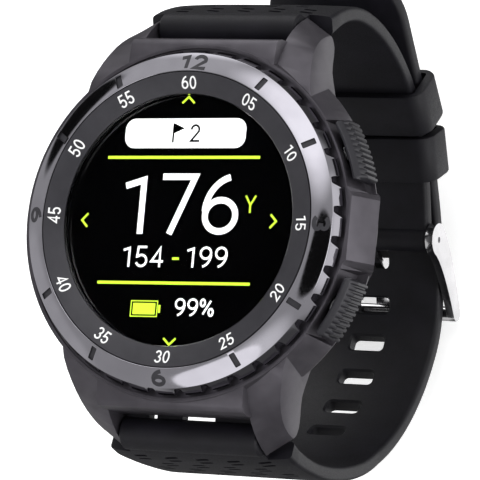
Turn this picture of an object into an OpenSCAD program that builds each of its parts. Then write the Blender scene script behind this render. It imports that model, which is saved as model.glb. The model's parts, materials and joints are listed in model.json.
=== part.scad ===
// Golf GPS watch with a round case, a turning notched bezel, two side pushers
// and a two-piece silicone strap closed with a pin buckle.
// Millimetres. +X is 3 o'clock, +Y is 12 o'clock, +Z points out through the crystal.
// The origin is the centre of the outer face of the case back.

/* [Case] */
// Largest radius of the case skirt
case_r = 26.6; // [26:0.1:29]
// Radius of the case wall at its top edge
case_top_r = 25.1; // [24.8:0.1:26]
// Height of the case top edge above the case back
case_top_z = 10.5; // [9.5:0.1:11.5]
// Inner radius of the case wall
case_in_r = 21.6; // [21:0.1:22]
// Half of the free width between the lugs
lug_gap = 11.05; // [10.5:0.05:11.5]
// Distance of the spring bar holes from the case axis along Y
bar_y = 29.0; // [28:0.1:30]
// Height of the spring bar holes
bar_z = 1.5; // [0.5:0.1:2.5]

/* [Bezel] */
// Outer radius of the turning bezel
bezel_r = 24.3; // [24:0.1:24.5]
// Number of grip notches round the bezel
notch_count = 36; // [24:1:48]
// Height of the highest edge of the bezel
bezel_top_z = 13.82; // [13:0.01:14.5]

/* [Display] */
// Radius of the visible display window
window_r = 17.7; // [16:0.1:18]
// Height of the outer face of the crystal
crystal_z = 13.0; // [12.5:0.1:13.5]

/* [Pushers] */
// Angle of each pusher above and below 3 o'clock
pusher_a = 24.7; // [22:0.1:27]
// Half of the angle covered by a pusher head
pusher_half = 9.8; // [8:0.1:11]
// Height of the pusher stems
pusher_z = 7.15; // [6.8:0.05:7.4]
// Grip ribs on each pusher head
pusher_ribs = 11; // [8:1:18]
// Outer radius of the pusher heads
head_r = 27.3; // [27:0.1:28]

/* [Strap] */
// Half width of the strap at the case
strap_wide = 14.25; // [13:0.05:14.5]
// Half width of the strap at the buckle
strap_narrow = 11.0; // [10:0.1:12]
// Thickness of the strap away from the case
strap_t = 2.2; // [1.8:0.1:2.6]
// Extra thickness of the strap where it leaves the case
strap_extra = 1.8; // [1:0.1:2.4]
// Spacing of the adjustment slots along the strap
slot_pitch = 6.45; // [6:0.05:7]
// Width of each adjustment slot
slot_w = 5.5; // [4:0.1:6]
// Length of each adjustment slot along the strap
slot_l = 2.4; // [2:0.1:3]

/* [Buckle] */
// Half of the width inside the buckle frame
buckle_in = 11.3; // [11.1:0.1:12]
// Thickness of each buckle arm
buckle_wall = 1.2; // [1:0.1:1.6]
// Width of the tongue
tongue_w = 3.2; // [2.4:0.1:4]
// Width of each keeper along the strap
keeper_w = 6.9; // [5.5:0.1:7]

/* [Hidden] */
$fn = 64;
// Strap centre lines: start [y, z, heading, length], then [radius, turn] arcs
up_start = [bar_y, bar_z, -54.3, 0];
up_arcs = [[27.26, -33.9], [43.3, -30.0], [18, -34.7], [62.4, -14.16]];
low_start = [-bar_y, bar_z, -123.2, 0];
low_arcs = [[12.85, 25], [69.8, 22.2], [33.7, 54.3], [14.4, 30.2],
            [49.3, 18.7], [10.24, 0], [20.63, 14], [25, 0]];
// Buckle bar, centre of the free keeper's travel, keeper places
bb = [6.87, -48.16];
kc = [13.14, -26.86];
crossbar = [-3.1, -57.25];
slot0_s = 77.95;
case_grey = [0.30, 0.29, 0.31];
steel = [0.72, 0.72, 0.74];
silicone = [0.10, 0.10, 0.12];
pcb_green = [0.05, 0.30, 0.18];
lug_sides = [1, -1];

// ---- helpers -------------------------------------------------------------
function bez3(a, b, c, t) = (1-t)*(1-t)*a + 2*t*(1-t)*b + t*t*c;
function bez4(a, b, c, d, t) =
  pow(1-t, 3)*a + 3*t*pow(1-t, 2)*b + 3*t*t*(1-t)*c + pow(t, 3)*d;

// Samples along one arc or straight run, each [y, z, heading, length]
function seg_pts(p, g) =
  let (n = max(2, ceil(abs(g[1])/5), g[1] == 0 ? 2 : 0))
  g[1] == 0
    ? [for (i = [1:n]) let (d = g[0]*i/n)
        [p[0] + d*cos(p[2]), p[1] + d*sin(p[2]), p[2], p[3] + d]]
    : let (s = sign(g[1]),
           cy = p[0] - s*g[0]*sin(p[2]),
           cz = p[1] + s*g[0]*cos(p[2]))
      [for (i = [1:n]) let (h = p[2] + g[1]*i/n)
        [cy + s*g[0]*sin(h), cz - s*g[0]*cos(h), h,
         p[3] + g[0]*abs(g[1])*i/n*PI/180]];

function path_pts(p, gs, k = 0) =
  k == len(gs) ? []
  : let (q = seg_pts(p, gs[k])) concat(q, path_pts(q[len(q)-1], gs, k+1));

up_path = concat([up_start], path_pts(up_start, up_arcs));
low_path = concat([low_start], path_pts(low_start, low_arcs));

function half_t(s) = (strap_t + strap_extra*pow(max(0, 1 - s/16), 2))/2;
function half_out(s) = (half_t(s) + strap_t/2)/2;
function side_pt(p, o) = [p[0] - o*sin(p[2]), p[1] + o*cos(p[2])];
function ribbon(pts) = concat(
  [for (p = pts) side_pt(p, half_out(p[3]))],
  [for (i = [len(pts)-1:-1:0]) side_pt(pts[i], -half_t(pts[i][3]))]);

// Point of a path at a length along it
function at_len(pts, s, i = 0) =
  (i >= len(pts)-2 || pts[i+1][3] >= s)
    ? let (f = (s - pts[i][3])/(pts[i+1][3] - pts[i][3]))
      pts[i] + f*(pts[i+1] - pts[i])
    : at_len(pts, s, i+1);

// Turns a drawing in [Y, Z] into a solid centred on X
module along_x(w) {
  rotate([90, 0, 90])
    linear_extrude(w, center = true)
      children();
}

// Round bar along X from x0 to x1 at [y, z]
module bar_x(x0, x1, y, z, r, fn = 24) {
  translate([x0, y, z])
    rotate([0, 90, 0])
      cylinder(r = r, h = x1 - x0, $fn = fn);
}

module rrect(w, h, r) {
  square([w, h - 2*r], center = true);
  square([w - 2*r, h], center = true);
  for (x = [-1, 1], y = [-1, 1])
    translate([x*(w/2 - r), y*(h/2 - r)])
      circle(r = r, $fn = 16);
}

// Coil spring along +Z, open ends: steps per turn, sides of the wire
module coil(r, wire, len, turns, steps = 14, sides = 6) {
  n = ceil(turns*steps);
  pts = [for (i = [0:n], j = [0:sides-1])
    let (a = 360*turns*i/n, b = 360*j/sides, q = r + wire/2*cos(b))
    [q*cos(a), q*sin(a), len*i/n + wire/2*sin(b)]];
  skin = [for (i = [0:n-1], j = [0:sides-1])
    let (k = (j + 1) % sides)
    [i*sides + j, i*sides + k, (i+1)*sides + k, (i+1)*sides + j]];
  polyhedron(pts, concat(skin,
    [[for (j = [sides-1:-1:0]) j]],
    [[for (j = [0:sides-1]) n*sides + j]]));
}

// ---- case ----------------------------------------------------------------
// Outer side face of a lug: a slightly flared plane pair
function lug_x(y, z) =
  let (t = lookup(y, [[10, 19.3], [20.5, 16.9], [27.5, 14.7], [32.5, 13.8]]),
       b = lookup(y, [[10, 20.8], [20.5, 17.9], [27.5, 15.4], [32.5, 14.3]]))
  t + (b - t)*(10.5 - z)/13;

function quad(a, b, c, d) = [[a, b, c], [a, c, d]];

// One lug: a solid ruled between its inner profile and its slanted outer edge
module lug_arm() {
  top_in = concat([[10, 10.3]],
    [for (i = [0:8]) bez3([21, 10.3], [28.7, 6.9], [31.4, 0.6], i/8)]);
  top_out = concat([[10, 10.3]],
    [for (i = [0:8]) bez3([19.6, 10.3], [26.6, 7.8], [28.4, 0.9], i/8)]);
  low_in = [[10, 3.0], [21.5, 3.0], [22.8, 2.7], [24.2, 1.9], [25.6, 0.9],
            [27, 0.0], [28.2, -0.5], [29.4, -0.6], [30.4, -0.3], [31, 0.1]];
  low_out = [[10, 3.0], [21.5, 3.0], [22.8, 2.7], [24.2, 1.9], [25.2, 1.2],
             [26, 0.7], [26.8, 0.25], [27.4, 0.1], [27.9, 0.2], [28.3, 0.5]];
  n = len(top_in);
  pts = concat(
    [for (p = top_in) [10.4, p[0], p[1]]],
    [for (p = low_in) [10.4, p[0], p[1]]],
    [for (p = top_out) [lug_x(p[0], p[1]), p[0], p[1]]],
    [for (p = low_out) [lug_x(p[0], p[1]), p[0], p[1]]]);
  polyhedron(pts, concat(
    [for (i = [0:n-2], f = quad(n+i, n+i+1, i+1, i)) f],
    [for (i = [0:n-2], f = quad(2*n+i, 2*n+i+1, 3*n+i+1, 3*n+i)) f],
    [for (i = [0:n-2], f = quad(i, i+1, 2*n+i+1, 2*n+i)) f],
    [for (i = [0:n-2], f = quad(n+i, 3*n+i, 3*n+i+1, n+i+1)) f],
    quad(0, 2*n, 3*n, n),
    quad(n-1, 2*n-1, 4*n-1, 3*n-1)));
}

module lug_end() {
  difference() {
    union() {
      for (s = lug_sides)
        scale([s, 1, 1])
          lug_arm();
      along_x(2*lug_gap + 0.6)
        polygon([[10, 10.4], [23.2, 10.4], [25.2, 10.2], [26.0, 9.6],
                 [26.35, 8.5], [26.35, 2.5], [10, 2.5]]);
    }
    translate([-lug_gap, 26.35, -4])
      cube([2*lug_gap, 8, 16]);
    for (s = [1, -1])
      scale([s, 1, 1])
        bar_x(lug_gap - 0.7, 12.6, bar_y, bar_z, 0.45);
  }
}

module crown_guard() {
  intersection() {
    rotate([90, 0, 0])
      linear_extrude(16, center = true)
        polygon([[22, case_top_z], [28.1, case_top_z], [28.1, 7.4],
                 [26.6, 4.6], [23.8, 0.8], [22, 0.8]]);
    translate([25.15, 0, 10.45])
      rotate([0, -26.3, 0])
        linear_extrude(26, center = true)
          polygon([[-7, -7.4], [-0.55, -5.1], [0, -4.45],
                   [0, 4.45], [-0.55, 5.1], [-7, 7.4]]);
  }
}

// Open pocket round a pusher head, left of 3 o'clock as seen from outside
module pusher_pocket(side) {
  scale([1, side, 1])
    difference() {
      translate([0, 0, 4.3])
        linear_extrude(8)
          polygon([[16.1, 11.84], [25.8, 18.94], [33, 12],
                   [32, 4.22], [20, 6.55]]);
      translate([0, 0, 4])
        cylinder(r = 24.9, h = 9, $fn = 96);
    }
}

module pusher_bores(side) {
  rotate([0, 0, side*pusher_a])
    translate([0, 0, pusher_z])
      rotate([0, 90, 0]) {
        translate([0, 0, 21])
          cylinder(r = 0.95, h = 5, $fn = 24);
        translate([0, 0, 22.2])
          cylinder(r = 1.55, h = 1.7, $fn = 24);
        translate([0, 0, 23.8])
          cylinder(r = 1.9, h = 2, $fn = 24);
      }
}

module case_body() {
  color(case_grey) {
    difference() {
      union() {
        rotate_extrude($fn = 96)
          polygon([[0, 0.5], [23.6, 0.5], [case_r - 0.3, 3.6], [case_r, 4.7],
                   [case_top_r, case_top_z], [0, case_top_z]]);
        lug_end();
        mirror([0, 1, 0]) lug_end();
        crown_guard();
        cylinder(r = 20.6, h = 12.3, $fn = 96);
      }
      // room for the strap ends between the lugs
      for (s = lug_sides)
        scale([1, s, 1])
          translate([-lug_gap, 26.35, -4])
            cube([2*lug_gap, 8, 16]);
      // inside of the case
      rotate_extrude($fn = 96)
        polygon([[0, -1], [22.9, -1], [22.9, 1.6], [case_in_r, 1.6],
                 [case_in_r, 9.3], [17.9, 9.3], [17.9, 11.0], [19, 11.0],
                 [19, 13], [0, 13]]);
      // groove of the case back gasket
      rotate_extrude($fn = 96)
        polygon([[22.05, 1.5], [22.6, 1.5], [22.6, 2.15], [22.05, 2.15]]);
      // trench the bezel turns in
      rotate_extrude($fn = 96)
        polygon([[20.6, 10.0], [24.6, 10.0], [24.6, 14], [20.6, 14]]);
      // groove of the bezel retaining wire
      translate([0, 0, 11.3])
        rotate_extrude($fn = 96)
          translate([20.63, 0])
            circle(r = 0.27, $fn = 16);
      for (s = [1, -1]) {
        pusher_pocket(s);
        pusher_bores(s);
      }
    }
    // screw bosses of the case back
    for (a = [45:90:315])
      rotate([0, 0, a])
        translate([19.8, 0, 1.6])
          difference() {
            cylinder(r = 2.0, h = 3.6, $fn = 24);
            translate([0, 0, -1])
              cylinder(r = 0.8, h = 4, $fn = 24);
          }
  }
}

module case_back() {
  color(steel)
    difference() {
      union() {
        cylinder(r = 22.8, h = 1.6, $fn = 96);
      }
      // shallow ring round the centre
      translate([0, 0, -1])
        difference() {
          cylinder(r = 16.2, h = 1.15, $fn = 96);
          cylinder(r = 15.8, h = 2, $fn = 96);
        }
      for (a = [45:90:315])
        rotate([0, 0, a])
          translate([19.8, 0, -1]) {
            cylinder(r = 1.55, h = 1.8, $fn = 24);
            cylinder(r = 0.9, h = 4, $fn = 24);
          }
      translate([-5.55, -19.15, -1])
        cube([11.1, 3.1, 4]);
    }
}

module case_back_gasket() {
  color([0.1, 0.1, 0.1])
    translate([0, 0, 1.62])
      rotate_extrude($fn = 96)
        translate([22.1, 0])
          square([0.45, 0.48]);
}

module case_back_screws() {
  color(steel)
    for (a = [45:90:315])
      rotate([0, 0, a])
        translate([19.8, 0, 0])
          difference() {
            union() {
              translate([0, 0, 0.02])
                cylinder(r = 1.5, h = 0.76, $fn = 24);
              translate([0, 0, 0.5])
                cylinder(r = 0.78, h = 3.9, $fn = 24);
            }
            translate([0, 0, -0.5])
              cylinder(r = 0.75, h = 1.0, $fn = 6);
          }
}

module contact_block() {
  color([0.08, 0.08, 0.09])
    difference() {
      union() {
        translate([-5.5, -19.1, 0])
          cube([11, 3, 2.4]);
        translate([-6.3, -19.1, 1.65])
          cube([12.6, 3, 0.75]);
      }
      for (x = [-3.75:2.5:3.75])
        translate([x, -17.6, -1])
          cylinder(r = 0.92, h = 6, $fn = 24);
    }
}

module charging_contacts() {
  color([0.85, 0.68, 0.35])
    for (x = [-3.75:2.5:3.75])
      translate([x, -17.6, 0.05]) {
        cylinder(r = 0.9, h = 2.3, $fn = 24);
        cylinder(r = 0.45, h = 5.1, $fn = 16);
      }
}

// ---- bezel, ring and display ----------------------------------------------
module bezel_ring() {
  color(steel)
    difference() {
      rotate_extrude($fn = 96)
        polygon([[20.66, 10.3], [23.4, 10.3], [23.6, 10.6], [bezel_r, 10.6],
                 [23.52, 12.6], [20.8, bezel_top_z], [20.8, 12.2],
                 [20.66, 12.2]]);
      // ratchet shaped grip notches
      for (i = [0:notch_count-1])
        rotate([0, 0, 360/notch_count*(i + 0.5)])
          translate([0, 0, 9])
            linear_extrude(3.4)
              polygon([[24.8, 0.78], [23.95, 0.72], [23.62, 0.5],
                       [23.55, 0.1], [23.7, -0.35], [24.8, -1.5]]);
      // room for the retaining wire
      translate([0, 0, 11.3])
        rotate_extrude($fn = 96)
          translate([20.63, 0])
            circle(r = 0.33, $fn = 16);
      // bars between the hour numerals
      for (h = [1, 2, 4, 5, 7, 8, 10, 11])
        rotate([0, 0, 90 - 30*h])
          translate([22.1, 0, 13.11])
            rotate([0, 24.2, 0])
              translate([-1.03, -0.45, -0.1])
                cube([2.06, 0.9, 1]);
    }
}

module bezel_click_washer() {
  color(steel)
    translate([0, 0, 10.02])
      difference() {
        cylinder(r = 23.2, h = 0.2, $fn = 64);
        translate([0, 0, -1])
          cylinder(r = 21.2, h = 3, $fn = 64);
      }
}

module bezel_retaining_wire() {
  color(steel)
    translate([0, 0, 11.3])
      rotate([0, 0, 95])
        rotate_extrude(angle = 350, $fn = 72)
          translate([20.63, 0])
            circle(r = 0.25, $fn = 16);
}

module numeral_ring() {
  color([0.24, 0.24, 0.26])
    rotate_extrude($fn = 96)
      polygon([[17.75, 12.32], [20.68, 12.32], [20.68, 13.8],
               [17.75, 13.02]]);
}

module crystal() {
  color([0.75, 0.85, 0.9, 0.5])
    rotate_extrude($fn = 96)
      polygon([[0, 11.5], [18.9, 11.5], [18.9, 12.25], [17.65, 12.25],
               [17.65, crystal_z], [0, crystal_z]]);
}

module crystal_gasket() {
  color([0.1, 0.1, 0.1])
    translate([0, 0, 11.01])
      rotate_extrude($fn = 96)
        translate([18.0, 0])
          square([0.95, 0.48]);
}

module display_module() {
  color([0.02, 0.02, 0.03])
    translate([0, 0, 10.35])
      cylinder(r = 17.6, h = 1.13, $fn = 96);
}

module display_flex() {
  color([0.75, 0.45, 0.12]) {
    translate([-3, -16.75, 6.25])
      cube([6, 0.2, 4.08]);
    translate([-3, -16.75, 6.05])
      cube([6, 3.5, 0.22]);
  }
}

// ---- inside the case --------------------------------------------------------
module inner_frame() {
  color([0.16, 0.16, 0.17])
    difference() {
      union() {
        difference() {
          translate([0, 0, 2.2])
            cylinder(r = 21.4, h = 7.0, $fn = 96);
          translate([0, 0, 1])
            cylinder(r = 20.4, h = 7.4, $fn = 96);
        }
        translate([0, 0, 9.1])
          cylinder(r = 17.4, h = 1.2, $fn = 96);
      }
      for (a = [45:90:315])
        rotate([0, 0, a])
          translate([19.8, 0, 1])
            cylinder(r = 2.3, h = 5.3, $fn = 24);
      for (s = [1, -1])
        rotate([0, 0, s*pusher_a])
          translate([19, -1.9, 5.4])
            cube([3, 3.8, 3.3]);
      // slot for the display strip
      translate([-3.3, -17.1, 7])
        cube([6.6, 0.9, 5]);
      // room for the contact block ears
      translate([-6.8, -22, 1])
        cube([13.6, 3.2, 2.2]);
    }
}

module main_board() {
  color(pcb_green)
    difference() {
      translate([0, 0, 5.2])
        cylinder(r = 20.2, h = 0.8, $fn = 96);
      // solder holes of the charging contacts
      for (x = [-3.75:2.5:3.75])
        translate([x, -17.6, 5])
          cylinder(r = 0.5, h = 2, $fn = 16);
      // notches over the screw ends
      for (a = [45:90:315])
        rotate([0, 0, a])
          translate([19.8, 0, 5])
            cylinder(r = 0.9, h = 2, $fn = 24);
    }
}

module shield_cans() {
  color(steel) {
    translate([-13, -2, 6.02])
      cube([13, 12, 1.4]);
    translate([3, -9, 6.02])
      cube([9, 14, 1.2]);
  }
}

module gps_antenna() {
  color([0.85, 0.55, 0.3])
    difference() {
      translate([0, 0, 7.9])
        cylinder(r = 17.2, h = 0.45, $fn = 96);
      translate([0, 0, 7])
        cylinder(r = 14.5, h = 3, $fn = 96);
      // feed gap, left of the display strip
      translate([-8, -18, 7])
        cube([15, 5, 3]);
    }
}

module battery() {
  color([0.55, 0.6, 0.66])
    translate([0, 3, 1.85])
      linear_extrude(3.1)
        rrect(24, 18, 1.5);
}

module battery_flex() {
  color([0.75, 0.45, 0.12]) {
    translate([12.02, 2, 2.2])
      cube([0.3, 3, 2.8]);
    translate([12.02, 2, 4.98])
      cube([2.4, 3, 0.2]);
  }
}

module vibration_motor() {
  color(steel)
    difference() {
      union() {
        bar_x(-7, 1, -12.8, 3.45, 1.6, 32);
        bar_x(-7.4, -7, -12.8, 3.45, 0.9, 24);
      }
      bar_x(-1, 2, -12.8, 3.45, 0.33, 16);
    }
}

module motor_weight() {
  color([0.6, 0.58, 0.5]) {
    bar_x(-0.9, 4.5, -12.8, 3.45, 0.3, 16);
    difference() {
      bar_x(1.6, 4.4, -12.8, 3.45, 1.6, 32);
      translate([1, -15, 3.2])
        cube([4, 5, 3]);
    }
  }
}

// ---- pushers ----------------------------------------------------------------
module pusher(side) {
  color(case_grey)
    rotate([0, 0, side*pusher_a]) {
      difference() {
        rotate([0, 0, -pusher_half])
          rotate_extrude(angle = 2*pusher_half, $fn = 96)
            polygon([[25.7, 4.8], [head_r - 0.1, 4.8], [head_r, 5.0],
                     [head_r, 8.3], [27.0, 9.1], [26.3, 10.0],
                     [25.9, 10.1], [25.7, 9.9]]);
        for (i = [0:pusher_ribs-1])
          rotate([0, 0, (i + 0.5 - pusher_ribs/2)*18.8/pusher_ribs])
            translate([27.02, -0.17, 4.5])
              cube([1, 0.34, 4.1]);
      }
      translate([0, 0, pusher_z])
        rotate([0, 90, 0])
          difference() {
            translate([0, 0, 20.85])
              cylinder(r = 0.9, h = 5.1, $fn = 24);
            translate([0, 0, 21.08])
              difference() {
                cylinder(r = 1.2, h = 0.34, $fn = 24);
                translate([0, 0, -1])
                  cylinder(r = 0.6, h = 3, $fn = 24);
              }
          }
    }
}

module pusher_spring(side) {
  color(steel)
    rotate([0, 0, side*pusher_a])
      translate([24.1, 0, pusher_z])
        rotate([0, 90, 0])
          coil(1.4, 0.3, 1.4, 2.5);
}

module pusher_clip(side) {
  color(steel)
    rotate([0, 0, side*pusher_a])
      translate([21.1, 0, pusher_z])
        rotate([0, 90, 0])
          difference() {
            cylinder(r = 1.2, h = 0.3, $fn = 24);
            translate([0, 0, -1])
              cylinder(r = 0.63, h = 3, $fn = 24);
            translate([-0.4, 0, -1])
              cube([0.8, 2, 3]);
          }
}

module pusher_seals(side) {
  color([0.1, 0.1, 0.1])
    rotate([0, 0, side*pusher_a])
      translate([0, 0, pusher_z])
        rotate([0, 90, 0])
          for (r = [22.65, 23.35])
            translate([0, 0, r])
              rotate_extrude($fn = 32)
                translate([1.23, 0])
                  circle(r = 0.29, $fn = 14);
}

module side_switch(side) {
  color([0.2, 0.2, 0.22])
    rotate([0, 0, side*pusher_a]) {
      translate([17.6, -2.2, 6.02])
        cube([2.0, 4.4, 2.2]);
      translate([19.5, 0, pusher_z])
        rotate([0, 90, 0])
          cylinder(r = 0.7, h = 0.45, $fn = 24);
    }
}

module upper_pusher() { pusher(1); }
module lower_pusher() { pusher(-1); }
module upper_pusher_spring() { pusher_spring(1); }
module lower_pusher_spring() { pusher_spring(-1); }
module upper_pusher_clip() { pusher_clip(1); }
module lower_pusher_clip() { pusher_clip(-1); }
module upper_pusher_seals() { pusher_seals(1); }
module lower_pusher_seals() { pusher_seals(-1); }
module upper_switch() { side_switch(1); }
module lower_switch() { side_switch(-1); }

// ---- strap ------------------------------------------------------------------
// Half of the strap in full width, cut back beside the lugs
// Lip on the strap end that reaches under the case edge, with two gaps
module strap_lip(side) {
  for (g = [[-10.6, -7.1], [-5.8, -1.8], [3.3, 10.6]])
    scale([1, side, 1])
      translate([g[0], 25.7, 0.3])
        cube([g[1] - g[0], 1.9, 1.7]);
}

module strap_band(pts, side) {
  difference() {
    along_x(2*strap_wide)
      polygon(ribbon(pts));
    scale([1, side, 1])
      for (s = [1, -1])
        scale([s, 1, 1])
          translate([10.8, 0, 0])
            rotate([90, 0, 90])
              linear_extrude(6)
                polygon([[38, 4.2], [31.4, -0.6], [28.6, -1.6], [26, -2.4],
                         [22, 12], [38, 12]]);
  }
}

// Outline seen along Y: wide at the case, narrow at the buckle
module taper() {
  rotate([90, 0, 0])
    linear_extrude(120, center = true)
      polygon([[-strap_wide, 10], [strap_wide, 10], [strap_wide, -3],
               [strap_narrow, -37], [strap_narrow, -70],
               [-strap_narrow, -70], [-strap_narrow, -37],
               [-strap_wide, -3]]);
}

module strap_buckle_half() {
  color(silicone)
    difference() {
      union() {
        intersection() {
          strap_band(up_path, 1);
          taper();
        }
        bar_x(-10.8, 10.8, bar_y, bar_z, 2.3, 32);
        strap_lip(1);
        bar_x(-10.9, 10.9, bb[0], bb[1], 1.9, 32);
      }
      bar_x(-16, 16, bar_y, bar_z, 0.95, 24);
      bar_x(-16, 16, bb[0], bb[1], 0.85, 24);
      // room for the tongue
      translate([-2.4, bb[0] - 4, bb[1] - 4])
        cube([4.8, 6.4, 8]);
    }
}

// Adjustment slot; the one on the tongue is pulled over to the tongue's slant
module slot_cut(k) {
  p = at_len(low_path, slot0_s - k*slot_pitch);
  translate([0, p[0], p[1]])
    rotate([k == 0 ? -20.5 : p[2], 0, 0])
      linear_extrude(8, center = true)
        rrect(slot_w, slot_l, 0.7);
}

module strap_slot_half() {
  tip = low_path[len(low_path)-1];
  color(silicone)
    difference() {
      union() {
        intersection() {
          strap_band(low_path, -1);
          union() {
            intersection() {
              taper();
              translate([-20, -60, -80])
                cube([40, 60, 100]);
            }
            translate([-strap_narrow, -0.1, -80])
              cube([2*strap_narrow, 80, 80]);
          }
          // rounded end of the strap
          translate([0, tip[0], tip[1]])
            rotate([tip[2], 0, 0])
              translate([0, -11.0, 0])
                union() {
                  cylinder(r = 11.0, h = 30, center = true, $fn = 64);
                  translate([-30, -140, -100])
                    cube([60, 140, 200]);
                }
        }
        bar_x(-10.8, 10.8, -bar_y, bar_z, 2.3, 32);
        strap_lip(-1);
      }
      bar_x(-16, 16, -bar_y, bar_z, 0.95, 24);
      for (k = [-2:5])
        slot_cut(k);
    }
}

// ---- spring bars --------------------------------------------------------------
module bar_tube(y, z, r, bore, half) {
  difference() {
    bar_x(-half, half, y, z, r, 24);
    bar_x(-half + 0.4, half - 0.4, y, z, bore, 24);
    bar_x(-half - 1, half + 1, y, z, 0.45, 24);
  }
}

module bar_tip(side, y, z, r, x0, x1, x2) {
  color(steel)
    scale([side, 1, 1]) {
      bar_x(x0, x1, y, z, r, 24);
      bar_x(x1 - 0.1, x2, y, z, 0.4, 24);
    }
}

module upper_lug_bar() { color(steel) bar_tube(bar_y, bar_z, 0.9, 0.65, 9.8); }
module lower_lug_bar() { color(steel) bar_tube(-bar_y, bar_z, 0.9, 0.65, 9.8); }
module upper_lug_tip_left() { bar_tip(-1, bar_y, bar_z, 0.6, 7.1, 9.3, 12.3); }
module upper_lug_tip_right() { bar_tip(1, bar_y, bar_z, 0.6, 7.1, 9.3, 12.3); }
module lower_lug_tip_left() { bar_tip(-1, -bar_y, bar_z, 0.6, 7.1, 9.3, 12.3); }
module lower_lug_tip_right() { bar_tip(1, -bar_y, bar_z, 0.6, 7.1, 9.3, 12.3); }

module upper_lug_bar_spring() {
  color(steel)
    translate([-6.8, bar_y, bar_z])
      rotate([0, 90, 0])
        coil(0.46, 0.2, 13.6, 14, 8, 4);
}

module lower_lug_bar_spring() {
  color(steel)
    translate([-6.8, -bar_y, bar_z])
      rotate([0, 90, 0])
        coil(0.46, 0.2, 13.6, 14, 8, 4);
}

module buckle_bar() { color(steel) bar_tube(bb[0], bb[1], 0.8, 0.55, 10.6); }
module buckle_tip_left() { bar_tip(-1, bb[0], bb[1], 0.5, 7.6, 10.1, 12.3); }
module buckle_tip_right() { bar_tip(1, bb[0], bb[1], 0.5, 7.6, 10.1, 12.3); }

module buckle_bar_spring() {
  color(steel)
    translate([-7.3, bb[0], bb[1]])
      rotate([0, 90, 0])
        coil(0.38, 0.18, 14.6, 15, 8, 4);
}

// ---- buckle -------------------------------------------------------------------
function arm_mid(t) = bez4(bb, [5.6, -50.8], [1.6, -54.2], crossbar, t);
function arm_dir(t) = arm_mid(min(1, t + 0.01)) - arm_mid(max(0, t - 0.01));
function arm_half(t) = 2.5 - 1.35*t;
function arm_edge(t, s) =
  let (d = arm_dir(t)) arm_mid(t) + s*arm_half(t)*[-d[1], d[0]]/norm(d);

module buckle_arm() {
  translate([buckle_in + buckle_wall/2, 0, 0])
    along_x(buckle_wall) {
      polygon(concat([for (i = [0:8]) arm_edge(i/8, 1)],
                     [for (i = [8:-1:0]) arm_edge(i/8, -1)]));
      translate(bb) circle(r = 2.5, $fn = 32);
      translate(crossbar) circle(r = 1.15, $fn = 24);
    }
}

module buckle_frame() {
  color(steel)
    difference() {
      union() {
        buckle_arm();
        mirror([1, 0, 0]) buckle_arm();
        bar_x(-buckle_in - 0.5, buckle_in + 0.5, crossbar[0], crossbar[1],
              1.1, 24);
      }
      bar_x(-20, 20, bb[0], bb[1], 0.45, 24);
    }
}

function tongue_mid(t) =
  bez4([5.9, -49.2], [2.6, -52.2], [4.4, -59.9], [-5.0, -59.2], t);
function tongue_edge(t, s) =
  let (d = tongue_mid(min(1, t + 0.01)) - tongue_mid(max(0, t - 0.01)))
  tongue_mid(t) + s*0.6*[-d[1], d[0]]/norm(d);

module buckle_tongue() {
  color(steel)
    difference() {
      union() {
        along_x(tongue_w)
          polygon(concat([for (i = [0:14]) tongue_edge(i/14, 1)],
                         [for (i = [14:-1:0]) tongue_edge(i/14, -1)]));
        bar_x(-2.1, 2.1, bb[0], bb[1], 1.5, 32);
      }
      bar_x(-9, 9, bb[0], bb[1], 0.85, 24);
    }
}

// ---- keepers ------------------------------------------------------------------
// Loop round both strap layers; the local Y axis points away from the wrist
module keeper(y, z, turn, y0, y1) {
  color(silicone)
    translate([0, y, z])
      rotate([turn, 0, 0])
        rotate([-90, 0, 0])
          linear_extrude(keeper_w, center = true)
            translate([0, (y0 + y1)/2])
              difference() {
                rrect(25.6, y1 - y0 + 1.8, 2.4);
                rrect(23.2, y1 - y0, 0.4);
              }
}

module fixed_keeper() { keeper(19.56, -45.68, 27, -3.25, 2.9); }
module free_keeper() {
  keeper(kc[0] + 19.2*sin(43), kc[1] - 19.2*cos(43), 43, -2.95, 3.4);
}

// ---- everything -----------------------------------------------------------------
case_body();
case_back();
case_back_gasket();
case_back_screws();
contact_block();
charging_contacts();
bezel_ring();
bezel_click_washer();
bezel_retaining_wire();
numeral_ring();
crystal();
crystal_gasket();
display_module();
display_flex();
inner_frame();
main_board();
shield_cans();
gps_antenna();
battery();
battery_flex();
vibration_motor();
motor_weight();
upper_pusher();
lower_pusher();
upper_pusher_spring();
lower_pusher_spring();
upper_pusher_clip();
lower_pusher_clip();
upper_pusher_seals();
lower_pusher_seals();
upper_switch();
lower_switch();
strap_buckle_half();
strap_slot_half();
upper_lug_bar();
lower_lug_bar();
upper_lug_bar_spring();
lower_lug_bar_spring();
upper_lug_tip_left();
upper_lug_tip_right();
lower_lug_tip_left();
lower_lug_tip_right();
buckle_bar();
buckle_bar_spring();
buckle_tip_left();
buckle_tip_right();
buckle_frame();
buckle_tongue();
fixed_keeper();
free_keeper();
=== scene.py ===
"""Looks of the golf GPS watch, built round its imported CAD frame.

The helpers take millimetres; the meshes are in metres.
"""
import json
import math

import bmesh
import bpy
from mathutils import Matrix, Vector


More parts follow.
